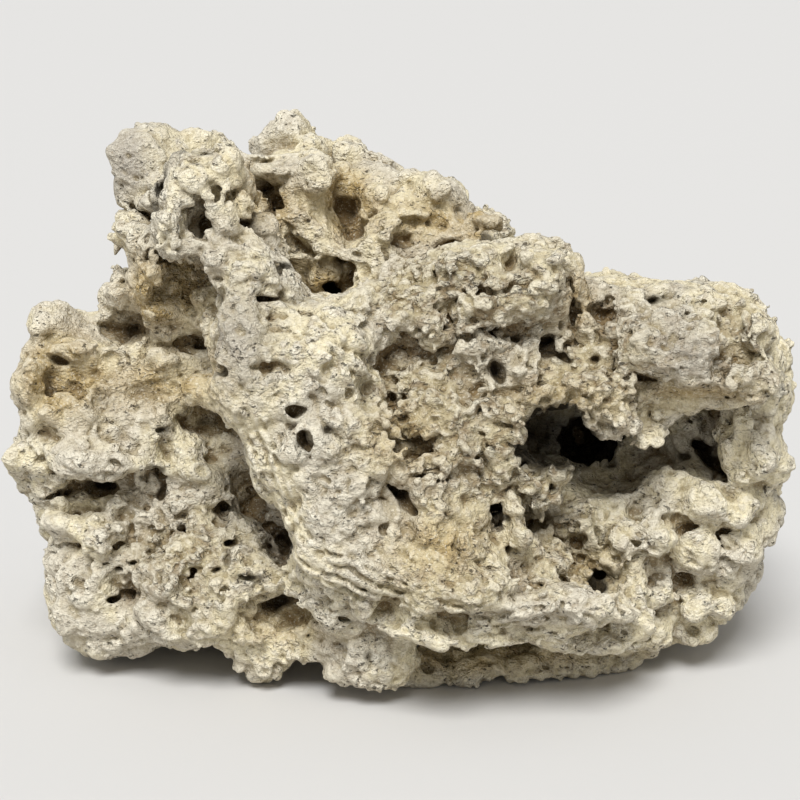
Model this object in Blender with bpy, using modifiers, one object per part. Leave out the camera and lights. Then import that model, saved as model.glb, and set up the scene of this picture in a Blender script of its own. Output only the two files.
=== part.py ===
"""Dry reef rock: one weathered lump of old reef limestone, modelled as one closed solid.

The rock grew as one mass, so its lumps are melted into one skin and its hollows are cut out of it.
It stands on flat patches at z = 0, its longest side runs along X, and its best side faces -Y.
Places and sizes in the lists are millimetres.
"""
import math
import random
from typing import NamedTuple

import bmesh
import bpy
from mathutils import Matrix
from mathutils import Vector

# Driving dimensions, in metres
MM = 0.001
LUMP_VOXEL = 2.0 * MM          # grain of the skin drawn over all the lumps
LUMP_SMOOTHING = 4             # rounds of smoothing that melt one lump into the next
HOLLOW_VOXEL = 1.5 * MM        # grain of the joined hollows
HOLLOW_SMOOTHING = 2
CRAG_SIZE = 14.0 * MM          # width of the broad swellings
CRAG_HEIGHT = 3.6 * MM         # from the lowest to the highest swelling
RUBBLE_SIZE = 6.0 * MM         # width of the small broken crumbs
RUBBLE_HEIGHT = 2.8 * MM
SKIN_VOXEL = 1.6 * MM          # grain of the skin once the hollows are cut
SKIN_SMOOTHING = 2
FACE_SHARE = 0.064             # share of the fine skin's triangles that is kept
FLOOR_SIZE = 300.0 * MM        # side of the block that cuts the resting patches flat
CENTRING = (-0.6, -4.2, 0.0)   # millimetres from the lists to a box centred on the origin
FINE_BALL = (25.0, 4)          # from this half size in millimetres up, icosphere subdivisions
MIDDLE_BALL = (8.0, 3)
SMALL_SUBDIVISIONS = 2

# Small knobs and pits strewn over the lumps, in millimetres
STREWN_SEED = 11
KNOB_TRIES = 800
KNOB_RADII = (3.0, 6.0)
KNOB_SINK = 0.45               # share of its radius that a knob's middle lies under the skin
PIT_TRIES = 1100
PIT_RADII = (2.6, 5.0)
PIT_SINK = 0.3
STREWN_GAP = 8.5               # least distance between the middles of two knobs or two pits

# Dry weathered limestone
STONE_COLOUR = (0.462, 0.413, 0.314, 1.0)
STONE_ROUGHNESS = 0.95


class Lump(NamedTuple):
    """A rounded block: its middle, half sizes, turn in the XZ plane in degrees and squareness."""

    name: str
    middle: tuple
    half: tuple
    tilt: float = 0.0
    square: float = 2.4


CORE = (
    Lump("core", (3, 16, 54), (74, 44, 48), square=2.6),
    Lump("core left", (-58, 28, 54), (42, 32, 40)),
    Lump("core right", (63, 22, 55), (42, 34, 40)),
    Lump("core top", (-19, 22, 104), (36, 24, 30)),
)

LEFT_BLOCK = (
    Lump("upper lobe", (-85, -6, 77), (17, 24, 16)),
    Lump("corner", (-91, -4, 88), (8, 12, 7)),
    Lump("knob", (-95, -10, 54), (11, 12, 8), square=2.2),
    Lump("main block", (-67, -2, 62), (34, 26, 32), square=2.6),
    Lump("lower block", (-75, -6, 24), (21, 26, 20), square=2.8),
    Lump("lower middle", (-46, -20, 26), (27, 24, 16), square=2.6),
    Lump("tip", (-36, -28, 9), (9, 11, 9), square=2.2),
    Lump("foot", (-80, -14, 12), (10, 14, 8)),
    Lump("upper rib", (-78, -26, 62), (20, 6, 5), tilt=-12),
)

TOWER = (
    Lump("far knob", (-65, 0, 131), (11, 14, 13), square=2.2),
    Lump("crest", (-48, -32, 128), (13, 13, 14)),
    Lump("body", (-50, -12, 110), (20, 20, 24)),
    Lump("left rib", (-68, -8, 113), (8, 10, 9), square=2.2),
    Lump("saddle", (-69, -4, 98), (10, 12, 11), square=2.2),
    Lump("top", (-53, 6, 135), (13, 12, 6), square=2.2),
)

TOP = (
    Lump("peak", (-29, 24, 134), (9, 12, 8), square=2.2),
    Lump("peak shoulder", (-15, 22, 127), (10, 13, 7), square=2.2),
    Lump("peak base", (-28, 10, 122), (17, 18, 14), square=2.3),
    Lump("right lump", (4, 18, 121), (15, 16, 8), square=2.3),
    Lump("flat block", (22, 16, 111), (10, 13, 8), square=3.2),
    Lump("slope", (-1, 4, 110), (28, 20, 12)),
)

WALL = (
    Lump("neck", (-37, -36, 104), (12, 13, 14)),
    Lump("left cheek", (-36, -44, 90), (11, 14, 15)),
    Lump("left corner", (-44, -46, 85), (6, 7, 4), square=2.2),
    Lump("upper face", (-22, -44, 86), (22, 16, 18), square=2.6),
    Lump("diagonal", (-11, -46, 64), (28, 18, 21), tilt=-50),
    Lump("lower face", (1, -48, 41), (28, 18, 17), tilt=-25),
    Lump("edge rib", (-28, -50, 62), (22, 7, 4), tilt=-52),
    Lump("ledge", (23, -46, 29), (33, 19, 9), tilt=-3, square=2.6),
    Lump("ledge lip", (24, -56, 32), (28, 10, 4), tilt=-4),
    Lump("ledge end", (46, -38, 24), (18, 18, 9)),
    Lump("middle", (13, -36, 66), (30, 19, 24)),
    Lump("lower left", (-16, -40, 32), (13, 13, 14), square=2.3),
    Lump("bottom lobe", (-8, -36, 13), (15, 14, 10), square=2.3),
    Lump("pale slope", (-14, -30, 96), (24, 18, 10), tilt=12),
)

BULGE = (
    Lump("bulge", (19, -30, 103), (26, 18, 14), tilt=22),
    Lump("bulge end", (37, -28, 108), (8, 14, 10), square=3.0),
    Lump("bulge tail", (1, -36, 96), (13, 12, 7), tilt=25, square=2.3),
    Lump("bulge foot", (25, -32, 84), (22, 16, 11), square=2.3),
)

ARM = (
    Lump("arm", (73, -26, 91), (25, 20, 16), square=2.5),
    Lump("arm root", (54, -22, 95), (16, 19, 13)),
    Lump("arm end", (94, -12, 79), (8, 16, 13), square=2.5),
    Lump("arm underside", (50, -32, 82), (18, 15, 7), tilt=-10, square=2.3),
    Lump("arm nub", (60, -36, 72), (9, 8, 4), square=2.2),
)

LOWER_RIGHT = (
    Lump("right face", (78, 2, 28), (22, 27, 20), square=2.5),
    Lump("right foot", (60, -8, 15), (18, 20, 12)),
    Lump("right rim", (95, 0, 50), (8, 22, 17), square=2.5),
    Lump("hollow floor", (53, -18, 39), (22, 18, 15)),
    Lump("right slope", (76, -4, 44), (19, 20, 12)),
)

UNDERSIDE = (
    Lump("front sole", (17, -11, 2), (40, 22, 9), square=2.5),
    Lump("right sole", (50, 0, 0), (22, 22, 9)),
    Lump("belly", (-30, 16, 18), (54, 34, 17)),
    Lump("right belly", (48, 24, 16), (42, 30, 15)),
    Lump("tip bridge", (-24, -30, 15), (12, 10, 8)),
)

BACK = (
    Lump("back left shoulder", (-66, 42, 84), (20, 18, 14)),
    Lump("back knob", (-30, 54, 92), (16, 14, 14)),
    Lump("back ridge", (12, 56, 72), (30, 13, 14), tilt=-20),
    Lump("back belly", (-40, 56, 36), (34, 16, 22), square=2.6),
    Lump("back right lobe", (58, 50, 62), (24, 16, 20)),
    Lump("back right foot", (70, 36, 13), (27, 24, 17), square=2.7),
    Lump("back left foot", (-72, 30, 12), (25, 26, 16), square=2.7),
    Lump("back middle foot", (-2, 50, 10), (40, 18, 13)),
    Lump("back upper ridge", (-48, 36, 114), (18, 12, 12)),
    Lump("back top knob", (28, 36, 94), (14, 13, 10)),
    Lump("right side knob", (97, 24, 62), (9, 16, 13)),
    Lump("right side ledge", (92, 24, 30), (12, 20, 8)),
    Lump("left side rib", (-93, 22, 38), (11, 16, 18)),
    Lump("left side shoulder", (-88, 22, 72), (15, 18, 14)),
)

# Hollows on the front, at least as wide as a finger's tip
FRONT_HOLLOWS = (
    Lump("cave under the arm", (46, -17, 64), (14, 20, 9), tilt=10),
    Lump("cave, inner end", (61, -14, 60), (12, 13, 6), tilt=-10),
    Lump("shelf below the arm", (84, -22, 64), (12, 8, 6)),
    Lump("right dimple", (92, -22, 70), (5, 7, 6)),
    Lump("deep hole by the peak", (-17, -24, 105), (7, 10, 6)),
    Lump("hollow by the peak", (-24, -5, 105), (13, 9, 6)),
    Lump("saddle cave", (-32, -14, 124), (7, 9, 9), tilt=25),
    Lump("slot in the peak", (-14, -2, 123), (4, 8, 7)),
    Lump("hollow below the right lump", (9, -9, 117), (11, 8, 5), tilt=20),
    Lump("tower cave", (-48, -43, 122), (6, 8, 6)),
    Lump("tower flank hollow", (-57, -30, 107), (6, 8, 9), tilt=15),
    Lump("gap beside the block", (-47, -50, 90), (4, 10, 6)),
    Lump("left cavity", (-73, -15, 93), (8, 8, 4)),
    Lump("left pocket", (-55, -28, 91), (7, 8, 5)),
    Lump("left bowl", (-86, -27, 83), (9, 7, 7)),
    Lump("shadow under the arch", (-78, -25, 53), (14, 8, 4), tilt=8),
    Lump("knob hole", (-63, -27, 53), (4, 7, 5)),
    Lump("wall foot shadow", (-51, -26, 68), (6, 10, 6)),
    Lump("pale hollow", (-80, -25, 42), (12, 6, 4)),
    Lump("left slot", (-72, -33, 26), (6, 7, 3), tilt=8),
    Lump("wall base cave", (-31, -28, 39), (6, 10, 6)),
    Lump("brown cave", (-30, -43, 25), (10, 10, 5), tilt=8),
    Lump("ledge dip", (-4, -64, 34), (7, 5, 5)),
    Lump("shadow under the bulge", (0, -48, 93), (7, 8, 5), tilt=20),
    Lump("middle hollow", (0, -63, 61), (7, 7, 5), tilt=-25),
    Lump("twin holes", (28, -50, 52), (6, 8, 5)),
    Lump("trough", (35, -38, 42), (14, 9, 6), tilt=-30),
    Lump("hole in the ledge end", (50, -46, 33), (4, 8, 4)),
    Lump("gap under the ledge", (18, -60, 19), (36, 9, 4), tilt=-2),
    Lump("gap under the ledge end", (56, -48, 22), (14, 8, 4), tilt=5),
    Lump("crevice in the arm", (50, -36, 104), (3, 8, 7), tilt=15),
    Lump("cleft left of the wall", (-50, -40, 38), (4, 8, 10), tilt=-35),
)

# Hollows on the sides, the top and the back
OTHER_HOLLOWS = (
    Lump("back cave", (-6, 70, 50), (14, 14, 10)),
    Lump("back pit", (-56, 68, 60), (8, 11, 9)),
    Lump("hole under the back knob", (-28, 66, 76), (10, 9, 6)),
    Lump("slot by the back ridge", (40, 62, 86), (6, 10, 9), tilt=20),
    Lump("back right hollow", (68, 64, 38), (11, 10, 8)),
    Lump("back right dimple", (50, 70, 62), (8, 7, 7)),
    Lump("right side hole", (106, 10, 42), (9, 7, 6)),
    Lump("right side hollow", (96, 38, 80), (9, 9, 8)),
    Lump("left side hole", (-106, 14, 62), (9, 7, 8)),
    Lump("left side slot", (-100, 28, 26), (10, 9, 4)),
    Lump("top back hollow", (-8, 40, 118), (12, 10, 8)),
    Lump("tower back hollow", (-58, 26, 128), (8, 8, 7)),
    Lump("back foot gap left", (-38, 74, 12), (14, 12, 8)),
    Lump("back foot gap right", (40, 72, 8), (12, 12, 9)),
)


def clear_scene():
    """Remove what the scene holds at the start."""
    for found in list(bpy.data.objects):
        bpy.data.objects.remove(found, do_unlink=True)


def new_collection(name):
    """Add a collection to the scene."""
    made = bpy.data.collections.new(name)
    bpy.context.scene.collection.children.link(made)
    return made


def limestone():
    """Dull, pale, dry limestone."""
    stone = bpy.data.materials.new("dry_limestone")
    stone.use_nodes = True
    shader = stone.node_tree.nodes["Principled BSDF"]
    shader.inputs["Base Color"].default_value = STONE_COLOUR
    shader.inputs["Roughness"].default_value = STONE_ROUGHNESS
    shader.inputs["Metallic"].default_value = 0.0
    stone.diffuse_color = STONE_COLOUR
    return stone


def turn(lump):
    """The turn of a lump in the XZ plane, anticlockwise as seen from the front."""
    return Matrix.Rotation(-math.radians(lump.tilt), 3, "Y")


def reach(lump, way):
    """How many times its own radius a direction is long: (|x|^n + |y|^n + |z|^n)^(1/n)."""
    return sum(abs(part) ** lump.square for part in way) ** (1.0 / lump.square)


def placing(lump):
    """The matrix that sizes, tilts and places a lump's unit form, in millimetres."""
    return Matrix.Translation(lump.middle) @ turn(lump).to_4x4() @ Matrix.Diagonal((*lump.half, 1.0))


def is_inside(lump, point):
    """Whether a point lies in a lump."""
    return reach(lump, placing(lump).inverted() @ point) < 1.0


def strewn(name, lumps, tries, radii, sink, dice):
    """Small round lumps at random places of the outer skin, none closer than the gap."""
    areas = [lump.half[0] * lump.half[1] + lump.half[1] * lump.half[2] for lump in lumps]
    made = []
    for lump in dice.choices(lumps, weights=areas, k=tries):
        way = Vector(dice.gauss(0.0, 1.0) for _ in range(3)).normalized()
        radius = dice.uniform(*radii)
        flat = dice.uniform(0.6, 1.0)
        tilt = dice.uniform(-60.0, 60.0)
        spot = placing(lump) @ (way / reach(lump, way))
        buried = any(is_inside(other, spot) for other in lumps if other is not lump)
        close = any((spot - Vector(other.middle)).length < STREWN_GAP for other in made)
        if buried or close:
            continue
        middle = spot - way * radius * sink
        made.append(Lump(name, tuple(middle), (radius, radius, radius * flat), tilt, 2.2))
    return made


def subdivisions(lump):
    """More facets on a larger lump."""
    for least, count in (FINE_BALL, MIDDLE_BALL):
        if max(lump.half) >= least:
            return count
    return SMALL_SUBDIVISIONS


def add_ball(mesh, lump):
    """Shape an icosphere as |x/a|^n + |y/b|^n + |z/c|^n = 1, then tilt and place it."""
    ball = bmesh.ops.create_icosphere(mesh, subdivisions=subdivisions(lump), radius=1.0)
    place = Matrix.Scale(MM, 4) @ Matrix.Translation(CENTRING) @ placing(lump)
    for vertex in ball["verts"]:
        vertex.co = place @ (vertex.co / reach(lump, vertex.co))


def joined_balls(name, lumps, collection):
    """One object that holds all the lumps of a list, still passing through each other."""
    work = bmesh.new()
    for lump in lumps:
        add_ball(work, lump)
    mesh = bpy.data.meshes.new(name)
    work.to_mesh(mesh)
    work.free()
    made = bpy.data.objects.new(name, mesh)
    collection.objects.link(made)
    return made


def as_cutter(body):
    """Mark an object as a cutting guide."""
    body.hide_render = True
    body.display_type = "WIRE"
    return body


def add_skin(body, voxel, rounds):
    """Draw one closed skin over whatever overlaps, and smooth it."""
    skin = body.modifiers.new("skin", "REMESH")
    skin.mode = "VOXEL"
    skin.voxel_size = voxel
    soft = body.modifiers.new("weathering", "SMOOTH")
    soft.factor = 0.5
    soft.iterations = rounds


def add_roughness(body, name, kind, size, height):
    """Push the skin in and out along its normals by a solid noise pattern."""
    pattern = bpy.data.textures.new(name, kind)
    pattern.noise_scale = size
    rough = body.modifiers.new(name, "DISPLACE")
    rough.texture = pattern
    rough.texture_coords = "LOCAL"
    rough.mid_level = 0.5
    rough.strength = height


def add_cut(body, name, cutter):
    """Cut another solid out of the rock."""
    cut = body.modifiers.new(name, "BOOLEAN")
    cut.operation = "DIFFERENCE"
    cut.solver = "EXACT"
    cut.object = cutter


def floor_block(collection):
    """The block below z = 0 that leaves the resting patches flat."""
    bpy.ops.mesh.primitive_cube_add(size=FLOOR_SIZE, location=(0.0, 0.0, -FLOOR_SIZE / 2.0))
    block = bpy.context.object
    block.name = "floor_cutter"
    for held in list(block.users_collection):
        held.objects.unlink(block)
    collection.objects.link(block)
    return as_cutter(block)


def hollows(lumps, collection, dice):
    """All hollows and pits, as one solid to cut with."""
    pits = strewn("pit", lumps, PIT_TRIES, PIT_RADII, PIT_SINK, dice)
    made = joined_balls("hollow_cutter", FRONT_HOLLOWS + OTHER_HOLLOWS + tuple(pits), collection)
    add_skin(made, HOLLOW_VOXEL, HOLLOW_SMOOTHING)
    return as_cutter(made)


def reef_rock(collection, cutters):
    """The rock: lumps melted together, hollowed, roughened and cut flat underneath."""
    block = floor_block(cutters)
    dice = random.Random(STREWN_SEED)
    lumps = CORE + LEFT_BLOCK + TOWER + TOP + WALL + BULGE + ARM + LOWER_RIGHT + UNDERSIDE + BACK
    knobs = strewn("small knob", lumps, KNOB_TRIES, KNOB_RADII, KNOB_SINK, dice)
    rock = joined_balls("reef_rock", lumps + tuple(knobs), collection)
    rock.data.materials.append(limestone())
    add_skin(rock, LUMP_VOXEL, LUMP_SMOOTHING)
    add_cut(rock, "hollows", hollows(lumps, cutters, dice))
    add_skin(rock, SKIN_VOXEL, SKIN_SMOOTHING)
    add_roughness(rock, "crags", "CLOUDS", CRAG_SIZE, CRAG_HEIGHT)
    add_roughness(rock, "rubble", "CLOUDS", RUBBLE_SIZE, RUBBLE_HEIGHT)
    facets = rock.modifiers.new("facets", "DECIMATE")
    facets.ratio = FACE_SHARE
    facets.use_collapse_triangulate = True
    add_cut(rock, "resting patches", block)
    return rock


clear_scene()
rock_parts = new_collection("dry_reef_rock")
rock_cutters = new_collection("cutters")
reef_rock(rock_parts, rock_cutters)
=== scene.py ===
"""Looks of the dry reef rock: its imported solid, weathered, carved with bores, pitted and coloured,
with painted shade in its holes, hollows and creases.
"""

import math

import bpy
import numpy as np
import openvdb
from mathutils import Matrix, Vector


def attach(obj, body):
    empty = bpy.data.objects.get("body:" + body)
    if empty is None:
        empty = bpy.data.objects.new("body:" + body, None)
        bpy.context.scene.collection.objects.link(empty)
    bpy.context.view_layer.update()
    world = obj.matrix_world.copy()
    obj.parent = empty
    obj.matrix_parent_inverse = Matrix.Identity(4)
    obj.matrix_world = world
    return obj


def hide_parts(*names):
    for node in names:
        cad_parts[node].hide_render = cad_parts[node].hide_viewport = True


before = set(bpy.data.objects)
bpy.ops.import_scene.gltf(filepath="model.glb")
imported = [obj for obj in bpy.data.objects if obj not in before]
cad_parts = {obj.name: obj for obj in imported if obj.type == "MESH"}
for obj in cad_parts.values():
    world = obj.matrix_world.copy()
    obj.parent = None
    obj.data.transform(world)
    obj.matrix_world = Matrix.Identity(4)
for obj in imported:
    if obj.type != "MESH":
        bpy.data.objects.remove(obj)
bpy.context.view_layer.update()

# The view: the photograph looks at the rock's best side from a little above, with a long lens.
# Everything that the photograph shows is placed by this camera, so it comes first.
MM = 0.001
PHOTO_SIDE = 800.0
VIEW_ELEVATION = math.radians(14.0)
VIEW_DISTANCE = 480.0
LENS = 80.0
SENSOR = 36.0
CLIP_START = 0.01
FOCAL = PHOTO_SIDE * LENS / SENSOR
AIM = np.array([-0.6, -4.2, 70.0])
SIGHT = np.array([0.0, math.cos(VIEW_ELEVATION), -math.sin(VIEW_ELEVATION)])
ACROSS = np.array([1.0, 0.0, 0.0])
UPWARD = np.cross(ACROSS, SIGHT)
EYE = AIM - SIGHT * VIEW_DISTANCE

camera_data = bpy.data.cameras.new("photo_view")
camera_data.lens = LENS
camera_data.sensor_width = SENSOR
camera_data.clip_start = CLIP_START
camera = bpy.data.objects.new("photo_view", camera_data)
camera.location = Vector(EYE * MM)
camera.rotation_euler = (math.pi / 2.0 - VIEW_ELEVATION, 0.0, 0.0)
bpy.context.scene.collection.objects.link(camera)
bpy.context.scene.camera = camera


def seen(px, py):
    """Where the line of sight through a pixel of the photograph meets the solid, in millimetres."""
    sight = SIGHT + ACROSS * (px - PHOTO_SIDE / 2) / FOCAL + UPWARD * (PHOTO_SIDE / 2 - py) / FOCAL
    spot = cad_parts["reef_rock"].ray_cast(Vector(EYE * MM), Vector(sight))[1]
    return np.array(spot, np.float32) / MM


# The rock's mass: old reef limestone, grown as one piece and worn by waves, rain and boring animals.
# It is worked out as a field of distances on a grid of cells: negative in the stone, zero on its skin.
CELL = 0.5
REACH = 9.0        # how far from the skin the distances are right
MARGIN = 5.0       # air round the rock in the grid
FACET_BLUR = 1.1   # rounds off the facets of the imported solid
BELL_REACH = 2.4   # where the bell curve of a blur is cut off, in widths

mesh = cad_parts["reef_rock"].data
mesh.calc_loop_triangles()
corners = np.empty(len(mesh.vertices) * 3, np.float32)
mesh.vertices.foreach_get("co", corners)
corners = corners.reshape(-1, 3) / MM
faces = np.empty(len(mesh.loop_triangles) * 3, np.int32)
mesh.loop_triangles.foreach_get("vertices", faces)
grid_low = (corners.min(0) - MARGIN).astype(np.float32)
grid_count = np.ceil((corners.max(0) + MARGIN - grid_low) / CELL).astype(int)
axes = [grid_low[k] + CELL * np.arange(grid_count[k], dtype=np.float32) for k in range(3)]
solid = openvdb.FloatGrid.createLevelSetFromPolygons(
    ((corners - grid_low) / CELL).astype(np.float32),
    triangles=faces.reshape(-1, 3).astype(np.uint32), halfWidth=REACH / CELL)
rock = np.empty(tuple(grid_count), np.float32)
solid.copyToArray(rock)
rock *= CELL


def blurred(field, width, cell=CELL):
    """Mean of shifted copies along each axis, with the bell curve exp(-d^2 / 2 width^2) as weight."""
    reach = int(math.ceil(BELL_REACH * width / cell))
    weights = np.exp(-(np.arange(-reach, reach + 1) * cell / width) ** 2 / 2)
    weights = (weights / weights.sum()).astype(np.float32)
    for axis in range(3):
        edge = [(reach, reach) if k == axis else (0, 0) for k in range(3)]
        padded = np.moveaxis(np.pad(field, edge, mode="edge"), axis, 0)
        count = field.shape[axis]
        total = np.zeros_like(padded[:count])
        for step, weight in enumerate(weights):
            total += weight * padded[step:step + count]
        field = np.moveaxis(total, 0, axis)
    return np.ascontiguousarray(field)


rock = blurred(rock, FACET_BLUR)

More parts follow.
